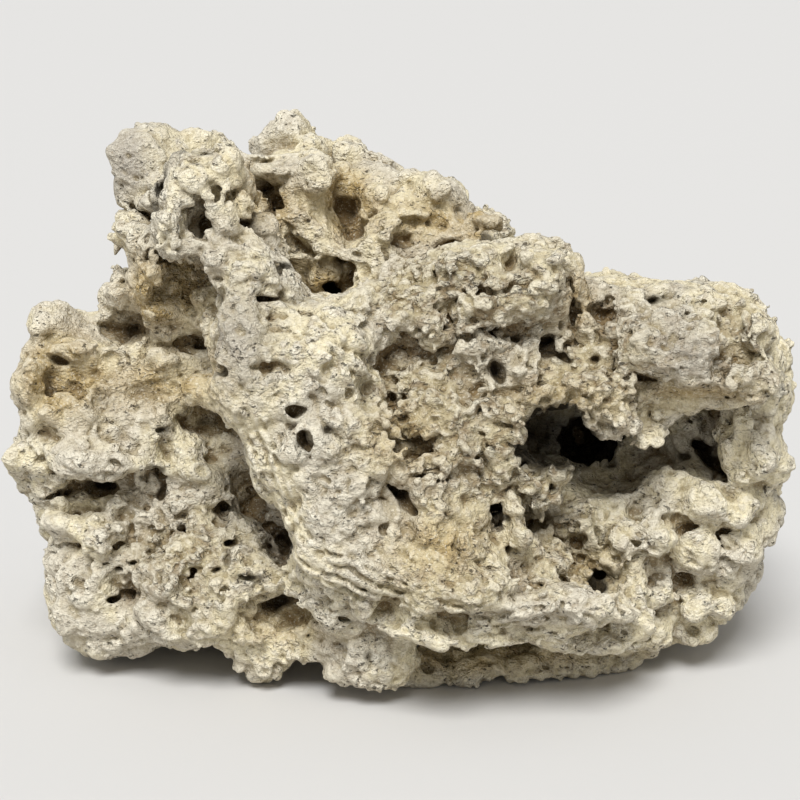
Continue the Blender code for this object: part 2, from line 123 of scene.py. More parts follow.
# Mounds and hollows: the middling forms of the rock, between its main lumps and its crust.
# Each is an egg shape, added or taken away where the photograph shows it, with a soft join.
FORMS = [
    # pixel across and down, how far in, half width, depth and height, turn, join, mound or hollow
    # the tower: a smooth shoulder behind, and a craggy rib in front with a hooked cave in it
    (106, 168, 0.0, 2.2, 26.0, 13.0, 0, 3.0, "hollow"),
    (140, 160, 7.0, 9.0, 10.0, 9.0, 0, 2.5, "mound"),
    (200, 139, 6.0, 9.0, 7.0, 3.2, -4, 1.2, "mound"),
    (205, 181, 2.0, 9.0, 8.0, 6.4, 4, 1.6, "mound"),
    (171, 218, 0.0, 3.6, 6.5, 8.0, -4, 2.0, "mound"),
    (238, 206, 1.0, 5.0, 6.0, 5.0, 0, 1.6, "mound"),
    (252, 232, 1.0, 5.4, 6.0, 4.6, 0, 1.6, "mound"),
    (224, 256, 0.0, 5.0, 6.0, 8.0, 24, 2.0, "mound"),
    (240, 292, 1.0, 5.6, 6.0, 9.0, 16, 2.0, "mound"),
    (222, 212, 0.5, 4.0, 5.0, 6.0, 30, 1.6, "mound"),
    (256, 268, 0.5, 3.4, 5.0, 8.0, 14, 2.0, "mound"),
    (128, 228, 3.0, 5.0, 6.0, 3.4, 14, 1.6, "mound"),
    (150, 258, 1.0, 3.6, 5.0, 6.4, 28, 1.6, "mound"),
    (117, 294, 2.0, 4.6, 6.0, 4.6, 0, 1.6, "mound"),
    (155, 190, 1.0, 1.7, 5.0, 7.0, -8, 1.6, "hollow"),
    (138, 209, 0.0, 6.4, 10.0, 1.3, -32, 1.2, "hollow"),
    (120, 208, 0.0, 3.0, 20.0, 2.0, -20, 1.5, "hollow"),
    (121, 262, 0.0, 2.8, 20.0, 4.6, 20, 1.5, "hollow"),
    (166, 256, 0.0, 4.6, 7.0, 2.6, -14, 1.4, "hollow"),
    (186, 276, 1.0, 3.6, 6.0, 4.2, 20, 1.6, "hollow"),
    (182, 276, 0.0, 9.4, 5.0, 9.0, 20, 2.5, "hollow"),
    (203, 290, 1.0, 3.8, 8.0, 8.0, 22, 1.5, "hollow"),
    (158, 300, 0.0, 4.4, 5.0, 4.0, -30, 1.6, "hollow"),
    (190, 214, 0.0, 2.4, 3.0, 1.2, -10, 1.0, "hollow"),
    (199, 226, -3.0, 5.6, 6.0, 6.6, 0, 1.6, "mound"),
    (205, 224, -5.0, 3.2, 4.0, 2.6, 30, 1.2, "hollow"),
    (222, 198, 0.0, 1.6, 3.0, 1.2, 0, 0.8, "hollow"),
    (249, 201, 0.0, 1.4, 3.0, 1.2, -20, 0.8, "hollow"),
    (203, 145, 3.0, 4.2, 5.0, 1.5, -6, 1.2, "hollow"),
    # the peak: knobs and ledges with deep recesses between them
    (289, 134, 5.0, 7.4, 9.0, 6.4, 0, 1.6, "mound"),
    (268, 148, 4.0, 6.4, 8.0, 5.0, 10, 1.6, "mound"),
    (308, 146, 4.0, 5.4, 8.0, 5.0, -10, 1.6, "mound"),
    (268, 158, 2.0, 8.0, 7.0, 1.9, 2, 1.2, "mound"),
    (276, 172, 2.0, 7.0, 7.0, 1.6, -4, 1.2, "mound"),
    (346, 157, 3.0, 5.4, 7.0, 4.4, 0, 1.6, "mound"),
    (312, 182, 1.5, 5.0, 6.0, 7.0, 0, 1.6, "mound"),
    (306, 222, 1.0, 5.4, 5.0, 4.6, -20, 1.6, "mound"),
    (320, 266, -3.0, 9.4, 7.0, 5.4, -30, 2.0, "mound"),
    (374, 196, 2.0, 5.2, 7.0, 6.4, 16, 1.6, "mound"),
    (362, 216, 1.0, 3.0, 5.0, 3.4, 0, 1.4, "mound"),
    (402, 178, 3.0, 6.0, 7.0, 4.0, 0, 1.4, "mound"),
    (436, 192, 3.0, 6.2, 7.0, 5.4, 0, 1.4, "mound"),
    (488, 221, 3.0, 6.6, 7.0, 4.2, 0, 1.0, "mound"),
    (268, 186, 2.0, 6.4, 8.0, 2.6, 6, 1.2, "hollow"),
    (274, 202, 1.5, 7.2, 9.0, 6.4, -20, 1.6, "hollow"),
    (342, 184, 2.0, 3.4, 5.0, 5.4, 10, 1.4, "hollow"),
    (345, 209, 1.0, 2.8, 8.0, 3.8, 0, 1.2, "hollow"),
    (353, 228, 0.0, 2.4, 6.0, 1.9, 0, 1.0, "hollow"),
    (418, 222, 0.0, 7.2, 5.0, 3.2, 0, 1.4, "hollow"),
    (408, 240, 0.0, 2.8, 6.0, 3.0, 0, 1.0, "hollow"),
    (447, 245, 0.0, 3.4, 6.0, 1.3, 8, 1.0, "hollow"),
    (400, 168, 2.0, 2.0, 3.0, 1.2, 0, 1.0, "hollow"),
    (434, 183, 2.0, 2.2, 3.0, 1.2, 0, 1.0, "hollow"),
    (304, 248, 0.0, 5.0, 5.0, 2.4, -34, 1.4, "hollow"),
    (298, 274, 0.0, 5.6, 5.0, 4.6, 0, 2.0, "mound"),
    (281, 267, 0.0, 2.4, 5.0, 1.4, 18, 0.8, "hollow"),
    # the bulge: one great craggy ball, undercut, and parted from the arm by an upright crease
    (452, 266, 1.0, 5.0, 4.0, 3.6, 20, 1.6, "mound"),
    (498, 254, 1.0, 6.0, 4.0, 3.6, 0, 1.6, "mound"),
    (545, 258, 2.0, 6.4, 5.0, 4.6, -10, 1.6, "mound"),
    (424, 304, 1.0, 8.0, 4.0, 3.4, 26, 1.6, "mound"),
    (478, 300, 1.0, 6.0, 4.0, 4.0, 10, 1.6, "mound"),
    (532, 298, 1.5, 7.0, 4.0, 4.0, 8, 1.6, "mound"),
    (410, 347, 0.0, 7.4, 2.0, 4.0, 20, 2.0, "hollow"),
    (470, 338, 0.0, 12.0, 3.0, 2.0, 10, 1.6, "hollow"),
    (530, 333, 0.0, 10.0, 3.0, 1.8, 8, 1.4, "hollow"),
    (574, 312, 0.0, 1.8, 7.0, 11.0, 6, 1.4, "hollow"),
    (497, 292, 0.0, 4.6, 3.0, 1.1, 10, 0.8, "hollow"),
    (467, 267, 0.0, 2.0, 3.0, 1.2, 0, 0.8, "hollow"),
    # the middle: a crumbly slope with shallow steps in it
    (432, 408, 1.5, 10.0, 4.0, 5.4, 0, 2.0, "mound"),
    (575, 385, 1.0, 6.4, 4.0, 4.0, 0, 1.6, "mound"),
    (508, 420, 1.0, 8.0, 4.0, 4.6, -14, 2.0, "mound"),
    (424, 447, 0.0, 8.0, 3.5, 1.6, 6, 1.2, "hollow"),
    (452, 478, 0.0, 11.0, 3.5, 2.0, 4, 1.6, "hollow"),
    (500, 392, 0.0, 9.0, 3.0, 1.8, 10, 1.2, "hollow"),
    (536, 404, 0.0, 7.0, 3.0, 1.4, 24, 1.2, "hollow"),
    (410, 524, 0.0, 2.6, 3.5, 6.0, 16, 1.4, "hollow"),
    (455, 548, 0.0, 3.0, 2.5, 4.0, 0, 1.6, "hollow"),
    # the arm, its nub, and the cave under it
    (672, 345, 2.0, 14.0, 6.0, 10.0, -8, 3.0, "mound"),
    (600, 296, 1.0, 4.6, 4.0, 4.0, 0, 1.6, "mound"),
    (603, 309, 0.0, 3.8, 3.6, 3.6, 0, 1.6, "mound"),
    (752, 330, 2.0, 7.0, 6.0, 6.0, -30, 2.0, "mound"),
    (748, 380, 2.0, 8.0, 6.0, 4.6, 8, 2.0, "mound"),
    (748, 440, -8.0, 8.0, 12.0, 11.0, 0, 3.0, "mound"),
    (796, 426, 0.0, 4.6, 30.0, 7.0, 0, 3.0, "hollow"),
    (585, 437, 4.0, 7.6, 20.0, 7.0, 0, 1.2, "hollow"),
    (552, 441, 8.0, 8.4, 26.0, 7.6, 0, 1.2, "hollow"),
    (556, 440, 22.0, 10.0, 18.0, 7.8, 0, 1.2, "hollow"),
    (560, 420, 6.0, 5.0, 20.0, 4.4, 0, 1.0, "hollow"),
    (616, 468, -6.0, 9.0, 9.0, 4.4, -6, 2.0, "hollow"),
    (650, 425, 0.0, 13.0, 6.0, 4.0, 4, 2.0, "hollow"),
    (614, 422, -0.5, 6.4, 6.0, 3.6, -4, 1.2, "mound"),
    (672, 446, -3.0, 5.4, 5.0, 3.4, -12, 1.4, "mound"),
    (750, 455, -6.0, 7.0, 6.0, 4.6, -20, 1.6, "mound"),
    (702, 446, 0.0, 3.4, 9.0, 2.4, -30, 1.0, "hollow"),
    (719, 466, 0.0, 5.0, 8.0, 2.0, -44, 1.0, "hollow"),
    (757, 420, -15.0, 4.6, 4.0, 5.4, 0, 1.4, "hollow"),
    # the foot on the right: rounded blocks of all sizes, with nooks between them
    (702, 545, 3.0, 16.0, 9.0, 17.0, 0, 2.5, "mound"),
    (664, 484, -2.0, 5.6, 6.0, 4.4, 0, 2.0, "mound"),
    (702, 500, -3.0, 6.4, 7.0, 5.0, 20, 2.0, "mound"),
    (742, 500, -3.0, 6.4, 7.0, 5.2, 0, 2.0, "mound"),
    (772, 470, -1.0, 5.0, 7.0, 6.0, 0, 2.0, "mound"),
    (620, 540, 1.0, 5.4, 4.0, 4.4, 0, 2.0, "mound"),
    (652, 536, -1.0, 5.0, 5.0, 4.6, 0, 2.0, "mound"),
    (690, 552, -3.0, 6.6, 7.0, 6.0, 16, 2.0, "mound"),
    (736, 558, -2.0, 6.0, 7.0, 7.0, -20, 2.0, "mound"),
    (766, 524, 2.0, 4.6, 5.0, 6.4, -10, 2.0, "mound"),
    (664, 588, -2.0, 5.4, 6.0, 4.6, 20, 2.0, "mound"),
    (706, 602, -2.0, 7.0, 6.0, 5.0, 20, 2.0, "mound"),
    (690, 632, 1.5, 6.6, 5.0, 3.4, 10, 1.2, "mound"),
    (640, 622, 0.5, 5.0, 4.0, 3.6, 0, 2.0, "mound"),
    (664, 520, -1.0, 2.6, 2.0, 2.0, 0, 1.0, "hollow"),
    (690, 526, -3.0, 3.6, 2.6, 1.4, 8, 1.0, "hollow"),
    (717, 538, -3.0, 2.6, 2.0, 3.6, -30, 1.0, "hollow"),
    (752, 542, 0.0, 2.0, 2.0, 3.6, 24, 1.0, "hollow"),
    (720, 484, 0.0, 1.8, 3.0, 4.0, 0, 1.0, "hollow"),
    (660, 562, -2.0, 4.2, 2.4, 1.6, -10, 1.0, "hollow"),
    (686, 580, 0.0, 2.0, 2.4, 3.6, -20, 1.0, "hollow"),
    (642, 602, 0.0, 1.8, 2.4, 3.4, 10, 1.0, "hollow"),
    (728, 614, 0.0, 2.4, 3.0, 1.8, 20, 1.0, "hollow"),
    (646, 638, 0.0, 3.4, 5.0, 2.0, -20, 1.0, "hollow"),
    (512, 512, -8.0, 3.0, 7.0, 9.0, 8, 1.6, "mound"),
    (522, 541, -13.0, 5.4, 8.0, 4.2, -34, 2.0, "mound"),
    (540, 558, -7.0, 9.0, 8.0, 6.0, -10, 3.0, "mound"),
    (536, 518, 0.0, 3.6, 3.4, 3.8, 10, 1.2, "hollow"),
    (585, 548, 0.0, 2.4, 2.2, 2.4, -30, 1.2, "hollow"),
    # the front ledge and the long undercut below it
    (462, 584, 1.0, 12.0, 4.0, 4.2, 0, 2.0, "mound"),
    (560, 606, 1.0, 10.0, 4.5, 3.8, 2, 1.6, "mound"),
    (450, 626, 0.0, 15.0, 7.0, 4.8, -2, 1.2, "hollow"),
    (530, 641, 0.0, 15.0, 8.0, 5.0, 3, 1.2, "hollow"),
    (604, 643, 0.0, 12.0, 8.0, 4.4, 8, 1.2, "hollow"),
    (385, 616, 0.0, 5.0, 4.0, 5.2, 0, 1.4, "hollow"),
    # the wall: its grey left edge stands out over a deep shaded flank
    (244, 332, 3.0, 6.0, 6.0, 9.6, 6, 2.5, "mound"),
    (228, 448, 1.0, 6.0, 9.0, 12.0, 28, 3.0, "hollow"),
    (248, 500, 1.0, 4.6, 9.0, 11.0, 24, 2.5, "hollow"),
    (276, 530, 1.0, 3.0, 7.0, 5.0, 30, 1.4, "hollow"),
    (268, 368, 0.0, 6.0, 3.0, 1.4, -4, 1.0, "hollow"),
    # the left block: a bowl with a crescent rim, a ledge with an arch under it, a pale shelf, and a cave
    (46, 326, 3.0, 6.4, 8.0, 5.0, 0, 2.0, "mound"),
    (30, 380, 3.0, 4.6, 8.0, 8.0, 0, 2.5, "mound"),
    (165, 358, 1.0, 5.4, 4.0, 4.6, 0, 1.6, "mound"),
    (30, 464, 2.0, 7.0, 8.0, 5.0, -10, 1.6, "mound"),
    (95, 462, 3.0, 12.0, 5.0, 4.4, -4, 1.6, "mound"),
    (92, 526, -5.6, 13.0, 8.0, 7.0, -2, 1.6, "mound"),
    (68, 388, 0.0, 7.4, 2.4, 7.4, 0, 2.0, "hollow"),
    (60, 361, 0.0, 4.6, 3.6, 2.2, -14, 1.2, "hollow"),
    (95, 397, 0.0, 2.2, 3.6, 5.0, 10, 1.2, "hollow"),
    (84, 316, 0.0, 3.0, 3.0, 1.4, 0, 1.0, "hollow"),
    (120, 329, 0.0, 4.6, 4.0, 1.7, 2, 1.0, "hollow"),
    (198, 344, 0.0, 5.0, 5.0, 1.9, -4, 1.0, "hollow"),
    (219, 366, 0.0, 2.4, 7.0, 3.4, 30, 1.0, "hollow"),
    (152, 390, 0.0, 9.0, 3.0, 1.8, 4, 1.2, "hollow"),
    (205, 414, 0.0, 3.0, 5.0, 4.0, -10, 1.4, "hollow"),
    (60, 494, 0.0, 7.0, 5.0, 1.7, 14, 1.0, "hollow"),
    (104, 488, 0.0, 5.0, 7.0, 2.4, 6, 0.8, "hollow"),
    (136, 503, 0.0, 5.2, 4.0, 1.5, -34, 1.0, "hollow"),
    (157, 484, 0.0, 3.2, 4.0, 5.2, -8, 0.8, "hollow"),
    (153, 483, 2.4, 2.2, 2.6, 3.2, 0, 0.6, "mound"),
    (188, 520, 1.0, 3.4, 3.0, 2.8, 0, 1.0, "mound"),
    (188, 533, 0.0, 4.4, 3.5, 1.0, 10, 0.8, "hollow"),
    (222, 508, 0.0, 2.2, 5.0, 3.0, -14, 0.8, "hollow"),
    (168, 611, 0.0, 7.4, 3.0, 1.8, -10, 1.2, "hollow"),
    (280, 616, 0.0, 8.6, 4.4, 4.6, 16, 1.2, "hollow"),
]
ROOM = 3.0         # room round an egg or a pocket for the noise that bends it


def soft_noise(wave, seed):
    """Random heights at lattice points a wave apart, joined by cubic B-splines, about unit spread."""
    counts = [int(grid_count[k] * CELL / wave) + 4 for k in range(3)]
    field = 3.0 * np.random.default_rng(seed).standard_normal(counts, dtype=np.float32)
    for axis in range(3):
        place = (np.arange(grid_count[axis]) * CELL / wave).astype(np.float32)
        first = place.astype(int)
        t = (place - first).reshape([-1 if k == axis else 1 for k in range(3)])
        shares = [(1 - t) ** 3, 3 * t ** 3 - 6 * t ** 2 + 4, 1 + 3 * t + 3 * t ** 2 - 3 * t ** 3, t ** 3]
        field = sum(share / 6.0 * field.take(first + k, axis) for k, share in enumerate(shares))
    return field


def round_spot(px, py, into, turned, size):
    """Part of the grid within a size of a seen spot, and where its cells lie seen from that spot.

    The places are those across, inward and upward as the eye sees them, after a turn in degrees.
    """
    spot = seen(px, py) + SIGHT * into
    turned = math.radians(turned)
    across = ACROSS * math.cos(turned) + UPWARD * math.sin(turned)
    upward = UPWARD * math.cos(turned) - ACROSS * math.sin(turned)
    low = np.maximum(np.floor((spot - size - grid_low) / CELL).astype(int), 0)
    top = np.minimum(np.ceil((spot + size - grid_low) / CELL).astype(int), grid_count)
    box = tuple(slice(low[k], top[k]) for k in range(3))
    gap = np.stack(np.meshgrid(*[axes[k][box[k]] - spot[k] for k in range(3)], indexing="ij"), -1)
    return box, gap @ across, gap @ SIGHT, gap @ upward


def egg(px, py, into, wide, deep, high, turned, join, kind):
    """Egg: (|q| - 1) |q| / |q over its half sizes|, with q the place over the half sizes.

    A mound joins the rock by a smooth minimum and a hollow by a smooth maximum. A soft noise
    times the least half size is added, so that no egg is round.
    """
    size = max(wide, deep, high) + join + ROOM
    box, across, inward, upward = round_spot(px, py, into, turned, size)
    q = np.stack([across / wide, inward / deep, upward / high], -1)
    length = np.sqrt((q ** 2).sum(-1)) + 1e-6
    slope = np.sqrt(((q / (wide, deep, high)) ** 2).sum(-1)) / length + 1e-6
    shape = (length - 1.0) / slope + form_bend[box] * min(wide, deep, high)
    sense = 1.0 if kind == "mound" else -1.0
    first, second = sense * rock[box], shape
    overlap = np.clip(join - np.abs(first - second), 0.0, None) / join
    rock[box] = sense * (np.minimum(first, second) - overlap ** 2 * join / 4)


# the noise that bends the eggs: two waves, in shares of the least half size
form_bend = 0.16 * soft_noise(8.0, 91) + 0.13 * soft_noise(3.6, 92)
for form in FORMS:
    egg(*form)
del form_bend

# Lumps and crags: the crust is rounded knobs with sharp creases between them, from 25 mm down to 2 mm.
# It is crumbly in the middle and along the arm, and worn smooth where the sea has rolled it.
# Each row of these lists is a pixel, and how wide its patch is along x, y and z.
CRUMBLY = [
    ((480, 440), (26, 22, 18)), ((560, 470), (18, 20, 14)), ((610, 350), (13, 22, 14)),
    ((490, 300), (24, 22, 12)), ((420, 400), (14, 14, 12)), ((740, 350), (10, 20, 12)),
    ((550, 560), (20, 20, 12)), ((450, 590), (14, 14, 6)), ((180, 560), (18, 20, 12)),
    ((200, 290), (12, 20, 10)), ((420, 280), (10, 20, 8)),
]
WORN = [
    ((238, 340), (9, 16, 15)), ((678, 352), (10, 14, 9)), ((276, 520), (6, 14, 10)),
    ((240, 470), (7, 18, 12)), ((130, 160), (9, 14, 9)),
]
SMOOTHED = [
    ((60, 340), (12, 16, 12)), ((60, 440), (10, 14, 8)), ((95, 530), (12, 16, 7)),
    ((110, 610), (14, 18, 10)), ((135, 160), (9, 14, 10)), ((200, 140), (10, 12, 4)),
    ((300, 150), (14, 14, 10)), ((290, 125), (8, 14, 7)), ((400, 190), (14, 14, 9)),
    ((485, 222), (7, 14, 5)), ((700, 480), (10, 12, 7)), ((765, 440), (9, 14, 12)),
    ((640, 500), (10, 14, 8)), ((235, 470), (8, 14, 14)),
]
OCHRE = [
    ((180, 280), (9, 14, 9)), ((275, 205), (8, 14, 7)), ((320, 270), (10, 14, 7)),
    ((344, 205), (5, 14, 9)), ((60, 375), (9, 14, 9)), ((160, 385), (12, 14, 7)),
    ((66, 380), (10, 14, 9)), ((188, 382), (12, 14, 7)), ((255, 190), (9, 16, 9)),
    ((310, 285), (12, 14, 6)), ((344, 200), (8, 14, 8)), ((425, 222), (14, 14, 6)),
    ((482, 222), (8, 14, 6)), ((282, 625), (12, 14, 5)), ((580, 300), (4, 10, 8)),
    ((525, 530), (10, 14, 8)), ((440, 545), (12, 14, 8)), ((405, 440), (8, 12, 8)),
    ((150, 300), (10, 14, 10)), ((590, 575), (8, 12, 5)), ((700, 395), (14, 12, 3)),
    ((470, 655), (40, 14, 4)), ((560, 400), (12, 12, 5)),
]
LAYERS = [
    # lattice wave, height on plain rock, more where crumbly, less where smoothed, shape
    (9.0, 0.9, 0.0, 0.3, "swell"),
    (5.0, 1.25, 0.3, 0.3, "knob"),
    (2.8, 0.95, 0.4, 0.35, "knob"),
    (1.6, 0.5, 0.35, 0.2, "knob"),
]
CREVICES = [
    # lattice wave, depth, more where crumbly, width as a share of the noise's own spread
    (6.0, 0.8, 0.7, 0.12),
    (3.4, 0.3, 0.9, 0.16),
]
NOOKS = [
    # lattice wave, depth, more where crumbly, how rare they are as a height of the noise
    (3.6, 1.3, 1.6, 1.25),
    (1.9, 0.7, 1.2, 1.1),
]
KNOB_GAIN = 1.25     # a knob is the size of a noise, flattened, less its own mean
KNOB_MEAN = 0.72
LESS_BROKEN = 0.6    # the share of creases, nooks and pits that a smoothed patch lacks
NOOK_EDGE = 0.6      # how much higher the noise is where a nook has its full depth
MORE_NOOKS = 0.3     # how much less rare nooks are where the rock is crumbly


def patches(places):
    """Bell curves round spots that the photograph shows, each by its own widths, added up to 1.

    A spot may lie some millimetres further in, along the line of sight.
    """
    total = np.zeros(rock.shape, np.float32)
    for pixel, size, *inward in places:
        spot = seen(*pixel) + SIGHT * sum(inward)
        x, y, z = [np.exp(-((axes[k] - spot[k]) / size[k]) ** 2).astype(np.float32) for k in range(3)]
        total += x[:, None, None] * y[None, :, None] * z[None, None, :]
    return np.minimum(total, 1.0)


crumbly = patches(CRUMBLY)
worn = patches(WORN)
smoothed = np.minimum(patches(SMOOTHED) + worn, 1.0)
ochre = patches(OCHRE)
for seed, (wave, height, more, less, shape) in enumerate(LAYERS):
    relief = soft_noise(wave, 100 + seed)
    if shape == "knob":
        relief = KNOB_GAIN * np.tanh(np.abs(relief)) - KNOB_MEAN
    rock -= relief * (height + more * crumbly - less * smoothed)
for seed, (wave, depth, more, width) in enumerate(CREVICES):
    crease = np.exp(-(soft_noise(wave, 150 + seed) / width) ** 2)
    rock += crease * (depth + more * crumbly) * (1.0 - LESS_BROKEN * smoothed)
for seed, (wave, depth, more, rare) in enumerate(NOOKS):
    nook = soft_noise(wave, 170 + seed) - rare + MORE_NOOKS * crumbly
    nook = np.clip(nook / NOOK_EDGE, 0.0, 1.0)
    rock += nook * (depth + more * crumbly) * (1.0 - LESS_BROKEN * smoothed)
del relief, crease, nook

# Strands: thin beds of the old reef, bared as round parallel ridges along the edges of the front wall.
# Each band follows a line that the photograph shows, and its ridges fade out to both sides.
STRANDS = [
    # line in pixels, spacing of the ridges, their height, half width of the band
    ([(243, 415), (260, 452), (270, 485), (282, 516), (298, 546), (316, 565), (352, 572), (380, 588),
      (414, 600), (450, 612), (500, 608), (550, 602)], 2.3, 1.5, 5.5),
    ([(396, 634), (450, 642), (520, 634), (575, 622)], 2.2, 0.9, 4.0),
    ([(636, 403), (672, 395), (700, 392), (738, 378)], 1.9, 0.45, 3.0),
    ([(380, 350), (420, 328), (455, 302), (482, 278)], 2.4, 0.45, 4.0),
    ([(428, 346), (470, 338), (505, 332), (540, 318)], 2.6, 0.45, 3.0),
    ([(300, 545), (340, 540), (372, 560)], 2.2, 0.6, 3.5),
]


def strands(line, spacing, height, width):
    """Ridges: height (|cos(pi s / spacing)|^0.8 - 0.6) exp(-(s / width)^4).

    Here s is the distance from the line as the eye sees it, bent by a soft noise.
    """
    line = np.array(line, float)
    spots = np.array([seen(*pixel) for pixel in line])
    low = np.maximum(((spots.min(0) - width - grid_low - (0, 4, 0)) / CELL).astype(int), 0)
    top = np.minimum(((spots.max(0) + width - grid_low + (0, 6, 0)) / CELL).astype(int), grid_count)
    box = tuple(slice(low[k], top[k]) for k in range(3))
    gap = np.stack(np.meshgrid(*[axes[k][box[k]] - EYE[k] for k in range(3)], indexing="ij"), -1)
    away = gap @ SIGHT
    right = PHOTO_SIDE / 2 + FOCAL * (gap @ ACROSS) / away
    down = PHOTO_SIDE / 2 - FOCAL * (gap @ UPWARD) / away
    nearest = np.full(away.shape, 1e6)
    side = np.zeros(away.shape)
    for (x0, y0), (x1, y1) in zip(line[:-1], line[1:]):
        length = math.hypot(x1 - x0, y1 - y0)
        share = np.clip(((right - x0) * (x1 - x0) + (down - y0) * (y1 - y0)) / length ** 2, 0.0, 1.0)
        distance = np.hypot(right - x0 - share * (x1 - x0), down - y0 - share * (y1 - y0))
        sense = np.sign((right - x0) * (y1 - y0) - (down - y0) * (x1 - x0))
        side = np.where(distance < nearest, sense * distance, side)
        nearest = np.minimum(nearest, distance)
    side = side * away / FOCAL + 0.5 * strand_bend[box]
    ridge = np.abs(np.cos(math.pi * side / spacing)) ** 0.8 - 0.6
    rock[box] -= height * ridge * np.exp(-(side / width) ** 4) * (1.0 + 0.3 * strand_bend[box])


strand_bend = soft_noise(4.0, 402)
for band in STRANDS:
    strands(*band)
del strand_bend

# Pits and crumbs: thousands of small holes left by dissolved shells, and grains of old coral stuck on.
# Each is a ball on the skin, carved out or heaped up, and drawn out along the grain of the stone.
PIT_KINDS = [
    # how many, radius from and to, how much it is drawn out
    (450, 1.0, 2.0, 1.5),
    (9000, 0.45, 0.9, 1.9),
]
CRUMB_KINDS = [
    # how many, size from and to: the radius is half the size and the rim
    (4500, 0.8, 1.9),
    (5000, 0.6, 0.9),
]
CRUMB_RIM = 0.1
PLAIN_SHARE = 0.12   # how often a crumb sits on plain rock, beside 1 where it is crumbly
BATCH = 1500         # balls that are stamped in one go
GRAIN = np.array([math.cos(math.radians(28.0)), 0.0, -math.sin(math.radians(28.0))], np.float32)


def skin_spots(count, weight, seed):
    """Random places on the skin, taken more often where the weight is high."""
    cells = np.argwhere(np.abs(rock) < CELL * 0.5)
    share = weight[tuple(cells.T)].astype(np.float64)
    choice = np.random.default_rng(seed)
    cells = cells[choice.choice(len(cells), count, replace=False, p=share / share.sum())]
    return (cells + choice.uniform(-0.5, 0.5, cells.shape)) * CELL + grid_low, choice


def stamp(spots, radii, drawn, carve):
    """Balls: d = |p - spot| - radius, with the part of p along the grain divided by drawn.

    A carved ball makes the field max(field, -d), and a heaped one makes it min(field, d).
    """
    reach = int(math.ceil(radii.max() * drawn / CELL)) + 1
    steps = np.arange(-reach, reach + 1)
    offsets = np.stack(np.meshgrid(steps, steps, steps, indexing="ij"), -1).reshape(-1, 3)
    flat_rock = rock.reshape(-1)
    for part in np.array_split(np.arange(len(spots)), len(spots) // BATCH + 1):
        cells = np.round((spots[part] - grid_low) / CELL).astype(int)[:, None] + offsets
        cells = np.clip(cells, 0, grid_count - 1)
        gap = (cells * CELL + grid_low - spots[part, None]).astype(np.float32)
        gap -= (gap @ GRAIN)[..., None] * GRAIN * (1.0 - 1.0 / drawn)
        distance = np.sqrt((gap ** 2).sum(-1)) - radii[part, None]
        place = np.ravel_multi_index(tuple(np.moveaxis(cells, -1, 0)), rock.shape).reshape(-1)
        if carve:
            np.maximum.at(flat_rock, place, -distance.reshape(-1))
        else:
            np.minimum.at(flat_rock, place, distance.reshape(-1))


few = 1.0
for seed, (count, low, high) in enumerate(CRUMB_KINDS):
    spots, choice = skin_spots(int(count * few), PLAIN_SHARE + crumbly, 300 + seed)
    radii = (low + (high - low) * choice.uniform(0, 1, len(spots)) ** 2).astype(np.float32)
    stamp(spots.astype(np.float32), radii * 0.5 + CRUMB_RIM, 1.0, False)
for seed, (count, low, high, drawn) in enumerate(PIT_KINDS):
    spots, choice = skin_spots(int(count * few), 1.0 - LESS_BROKEN * smoothed, 200 + seed)
    radii = (low + (high - low) * choice.uniform(0, 1, len(spots)) ** 2).astype(np.float32)
    stamp(spots.astype(np.float32), radii, drawn, True)
